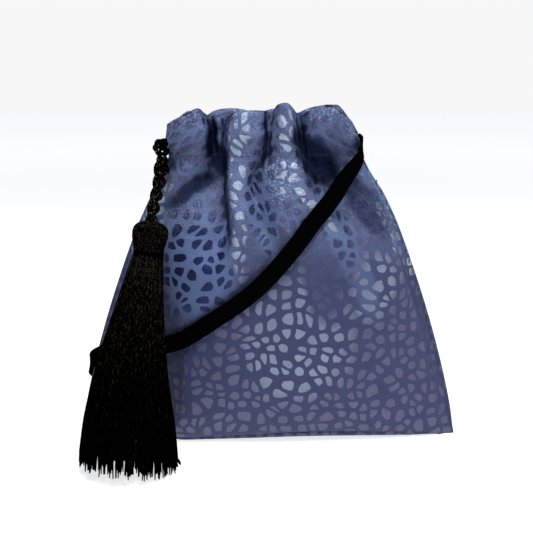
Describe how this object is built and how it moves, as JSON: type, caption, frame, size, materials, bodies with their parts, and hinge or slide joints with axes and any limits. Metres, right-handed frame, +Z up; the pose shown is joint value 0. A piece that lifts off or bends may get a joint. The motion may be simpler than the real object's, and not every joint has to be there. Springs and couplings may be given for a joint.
{
  "type": "drawstring gift pouch",
  "caption": "Lined satin pouch with a ribbon drawstring in a gathered casing, a wrist loop and a tassel on a twisted cord.",
  "frame": {"origin": "middle of the pouch's underside, on the surface it stands on", "axes": "+X to the right along the pouch's width, -Y out of its front, +Z up"},
  "size_m": [0.196, 0.0948, 0.1716],
  "materials": {
    "satin": "slate-blue satin jacquard with an irregular pebble figure",
    "lining": "plain dark slate satin lining",
    "thread": "matching sewing thread",
    "grosgrain": "black ribbed grosgrain ribbon",
    "yarn": "black rayon yarn, twisted cord and loose strands"
  },
  "bodies": {
    "pouch": {"front_panel": "satin", "back_panel": "satin", "front_lining": "lining", "back_lining": "lining", "left_seam_allowance": "satin", "right_seam_allowance": "satin", "bottom_seam_allowance": "satin", "side_seam_stitches": "thread", "bottom_seam_stitches": "thread", "left_bartack": "thread", "right_bartack": "thread", "ribbon_bridge": "grosgrain"},
    "front_lip": {"front_casing": "satin", "front_casing_stitches": "thread", "front_ribbon_run": "grosgrain"},
    "back_lip": {"back_casing": "satin", "back_casing_stitches": "thread", "back_ribbon_run": "grosgrain", "ribbon_lap": "grosgrain"},
    "wrist_loop": {"ribbon_loop": "grosgrain"},
    "cord_top": {"cord_hanger": "yarn"},
    "cord": {"tassel_cord": "yarn", "cord_knot": "yarn"},
    "tassel": {"tassel_head": "yarn", "neck_binding": "yarn", "tassel_skirt": "yarn"}
  },
  "joints": [
    {"name": "front_lip_tilt", "type": "hinge", "parent": "pouch", "child": "front_lip", "pos_m": [0, -0.011, 0.1466], "axis": [1, 0, 0], "range_deg": [-8, 20]},
    {"name": "back_lip_tilt", "type": "hinge", "parent": "pouch", "child": "back_lip", "pos_m": [0, 0.011, 0.1466], "axis": [1, 0, 0], "range_deg": [-20, 8]},
    {"name": "loop_lift", "type": "hinge", "parent": "pouch", "child": "wrist_loop", "pos_m": [0.0452, 0, 0.153], "axis": [0, 1, 0], "range_deg": [0, 10]},
    {"name": "tassel_side_swing", "type": "hinge", "parent": "pouch", "child": "cord_top", "pos_m": [-0.0523, -0.005, 0.151], "axis": [0, 1, 0], "range_deg": [0, 80]},
    {"name": "tassel_fore_swing", "type": "hinge", "parent": "cord_top", "child": "cord", "pos_m": [-0.0523, -0.005, 0.1471], "axis": [-1, 0, 0], "range_deg": [0, 60]},
    {"name": "tassel_spin", "type": "hinge", "parent": "cord", "child": "tassel", "pos_m": [-0.056, -0.025, 0.117], "axis": [-0.0976, -0.1836, -0.9781], "range_deg": [-180, 180]}
  ],
  "couplings": [
    {"joint": "back_lip_tilt", "follows": "front_lip_tilt", "ratio": -1}
  ]
}
